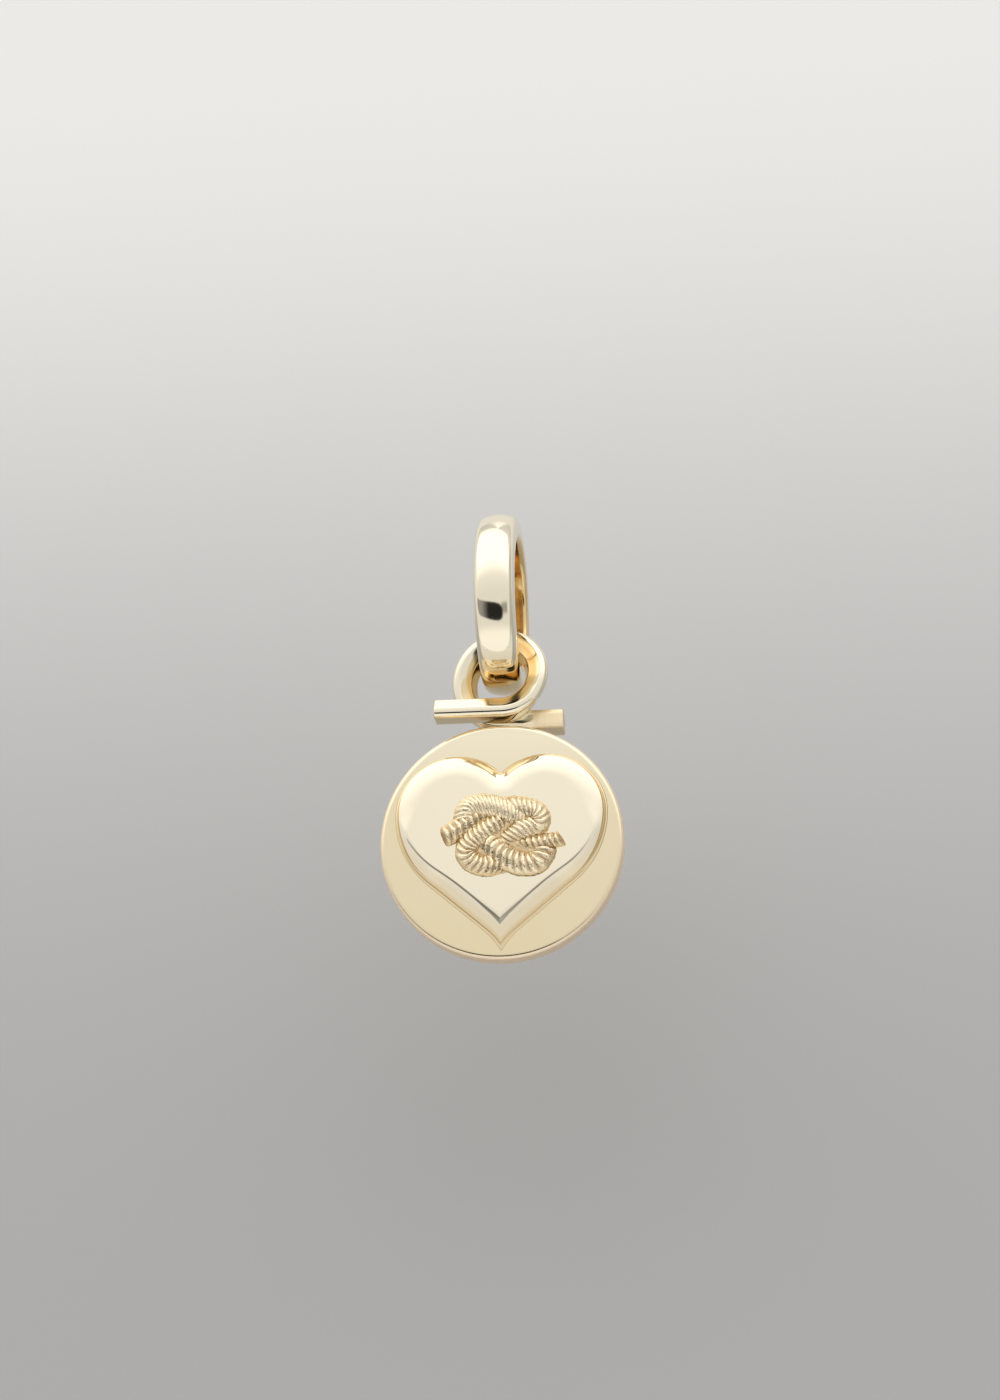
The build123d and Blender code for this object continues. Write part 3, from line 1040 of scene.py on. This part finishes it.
# The dark place, on a level that dips in front: its ends, its top, its foot that rises to the left, its
# darkness that eases to the left, the glow under it and the haze on its right
DIP_COS, DIP_SIN = 0.866, 0.5
DARK_LEFT, DARK_RIGHT = -72.0, 20.0
DARK_TOP, DARK_FOOT, DARK_FOOT_RISE = 12.5, -15.0, 0.16
DARK_CORNERS, DARK_SOFT = 3.0, (0.8, 1.2)
DARKNESS, DARK_EASES, DARK_EASE = 0.975, (-44.0, -16.0), 0.38
GLOW_UNDER, GLOW_ENDS, GLOW_GAIN = (-28.0, -13.0), (60.0, 90.0), 0.24
HAZE_ALONG, HAZE_HEIGHT, HAZE_FADES, HAZE_SHADE = (14.0, 20.0, 30.0, 42.0), 4.0, (3.0, 10.0), 0.55

# The camera's place, aim, lens and film in millimetres, and its range in metres
CAMERA_PLACE, CAMERA_AIM = (16.66, -154.70, -62.39), (-0.14, 0.0, -6.05)
CAMERA_LENS, CAMERA_FILM = 72.0, 36.0
CAMERA_NEAR, CAMERA_FAR = 0.001, 10.0


class CHARM_OT_stage(bpy.types.Operator):
    """Set the pale floor, the soft light and the camera"""

    bl_idname = "charm.stage"
    bl_label = "Stage"

    def execute(self, context):
        self.floor(context)
        self.light(context)
        self.camera(context)
        context.scene.view_settings.view_transform = "Standard"
        return {"FINISHED"}

    def floor(self, context):
        """A sheet behind the charm, as steep as if the ring and the medal leaned on it, with painted light
        that falls off along its height.
        """
        s = charm_sizes(context)
        colours = charm_colours(context)
        foot = Vector((0, s.disc_thickness / 2 + SHEET_AIR, s.disc_z - s.disc_radius)) * MM
        rest = Vector((0, s.ring_outer + SHEET_AIR, 0)) * MM
        lean = atan2(rest.y - foot.y, rest.z - foot.z)
        bpy.ops.object.select_all(action="DESELECT")
        bpy.ops.mesh.primitive_grid_add(x_subdivisions=2, y_subdivisions=2, size=SHEET_SIZE, location=ORIGIN,
                                        rotation=(pi / 2 - lean, 0, 0))
        sheet = context.object
        sheet.name = "floor_sheet"
        bpy.ops.object.transform_apply(location=False, rotation=True, scale=True)
        sheet.location = foot + Vector((0, s.sheet_gap * MM, 0))
        bpy.ops.object.transform_apply(location=True, rotation=False, scale=False)
        material = bpy.data.materials.new("Pale sheet")
        material.use_nodes = True
        bench = Bench(material.node_tree)
        _, _, z = bench.place().parts()
        # Painted light falloff: darkest a little under the charm, paler above and below it
        pale = (z.step(*SHEET_PALES_UP) ** SHEET_POWER).at_least(1 - z.step(*SHEET_PALES_DOWN))
        tone = bench.blend(pale, colours.floor_near, colours.floor_far)
        paint = bench.node("ShaderNodeBsdfPrincipled", {}, {"Base Color": tone, "Roughness": SHEET_ROUGHNESS})
        clear = bench.node("ShaderNodeBsdfTransparent")
        behind = bench.node("ShaderNodeNewGeometry", output="Backfacing")
        one_sided = bench.node("ShaderNodeMixShader", {}, {0: behind, 1: paint, 2: clear})
        bench.node("ShaderNodeOutputMaterial", {}, {"Surface": one_sided})
        sheet.data.materials.append(material)

    def light(self, context):
        """A pale studio all round: bright above the front, dimmer at the sides, dark at the camera."""
        world = bpy.data.worlds.new("Pale studio")
        context.scene.world = world
        world.use_nodes = True
        bench = Bench(world.node_tree)
        x, y, z = bench.node("ShaderNodeTexCoord", output="Generated").parts()
        round_it, pitch = x.turn_from(-y), z.turn_from(-y)
        level = WALL_LEVEL + z.slope().step(*SKY_RISES) * SKY_GAIN
        level = level + pitch.between(*BOX_UP) * x.between(*BOX_ACROSS) * BOX_GAIN
        sides = round_it.step(*RIGHT_DIMS) + (1 - round_it.step(*LEFT_DIMS))
        level = level * (1 - sides * SIDE_SHADE * (1 - abs(round_it).step(*BACK_CLEARS)))
        ahead = z * -DIP_SIN - y * DIP_COS
        above = z * DIP_COS - y * DIP_SIN
        along, across = x.turn_from(ahead), above.slope()
        glow = (1 - across.step(*GLOW_UNDER)) * (1 - abs(along).step(*GLOW_ENDS))
        level = level + glow * GLOW_GAIN
        foot = DARK_FOOT + (DARK_RIGHT - along) * DARK_FOOT_RISE
        half_height = (DARK_TOP - foot) / 2
        tall = (across - DARK_TOP + half_height) / half_height
        wide = (along - (DARK_LEFT + DARK_RIGHT) / 2) / ((DARK_RIGHT - DARK_LEFT) / 2)
        dark = 1 - (abs(wide) ** DARK_CORNERS + abs(tall) ** DARK_CORNERS).step(*DARK_SOFT)
        dark = dark * (DARKNESS - (1 - along.step(*DARK_EASES)) * DARK_EASE)
        haze = (1 - abs(across - HAZE_HEIGHT).step(*HAZE_FADES)) * along.between(*HAZE_ALONG)
        level = level * (1 - dark) * (1 - haze * HAZE_SHADE)
        seen = bench.node("ShaderNodeLightPath", output="Is Camera Ray")
        level = level + seen * (SEEN_LEVEL - level)
        lit = bench.node("ShaderNodeBackground", {}, {"Color": STUDIO_WHITE, "Strength": level})
        bench.node("ShaderNodeOutputWorld", {}, {"Surface": lit})

    def camera(self, context):
        """The photograph's view: from the front, a little from below and from the right."""
        place, aim = Vector(CAMERA_PLACE) * MM, Vector(CAMERA_AIM) * MM
        bpy.ops.object.camera_add(location=place)
        camera = context.object
        camera.rotation_euler = (aim - place).to_track_quat("-Z", "Y").to_euler()
        camera.data.lens = CAMERA_LENS
        camera.data.sensor_width = CAMERA_FILM
        camera.data.clip_start = CAMERA_NEAR
        camera.data.clip_end = CAMERA_FAR
        context.scene.camera = camera


class CHARM_PT_sidebar(bpy.types.Panel):
    """Lists the charm's sizes, colours and pieces"""

    bl_idname = "CHARM_PT_sidebar"
    bl_label = "Heart medal charm"
    bl_space_type = "VIEW_3D"
    bl_region_type = "UI"
    bl_category = "Charm"

    def draw(self, context):
        for group in (context.scene.charm_sizes, context.scene.charm_colours):
            column = self.layout.column()
            for key in group.__annotations__:
                column.prop(group, key)
        for piece in OPERATORS:
            self.layout.operator(piece.bl_idname)


OPERATORS = (CHARM_OT_bail_ring, CHARM_OT_hanging_loop, CHARM_OT_medal_disc, CHARM_OT_heart_plate,
             CHARM_OT_rope_knot, CHARM_OT_stage)
CLASSES = (CharmSizes, CharmColours, *OPERATORS, CHARM_PT_sidebar)


def register():
    for kind in CLASSES:
        bpy.utils.register_class(kind)
    bpy.types.Scene.charm_sizes = PointerProperty(type=CharmSizes)
    bpy.types.Scene.charm_colours = PointerProperty(type=CharmColours)


def unregister():
    del bpy.types.Scene.charm_colours
    del bpy.types.Scene.charm_sizes
    for kind in reversed(CLASSES):
        bpy.utils.unregister_class(kind)


def main():
    """Models every piece in order and sets the stage."""
    register()
    bpy.ops.charm.bail_ring()
    bpy.ops.charm.hanging_loop()
    bpy.ops.charm.medal_disc()
    bpy.ops.charm.heart_plate()
    bpy.ops.charm.rope_knot()
    bpy.ops.charm.stage()


if __name__ == "__main__":
    main()
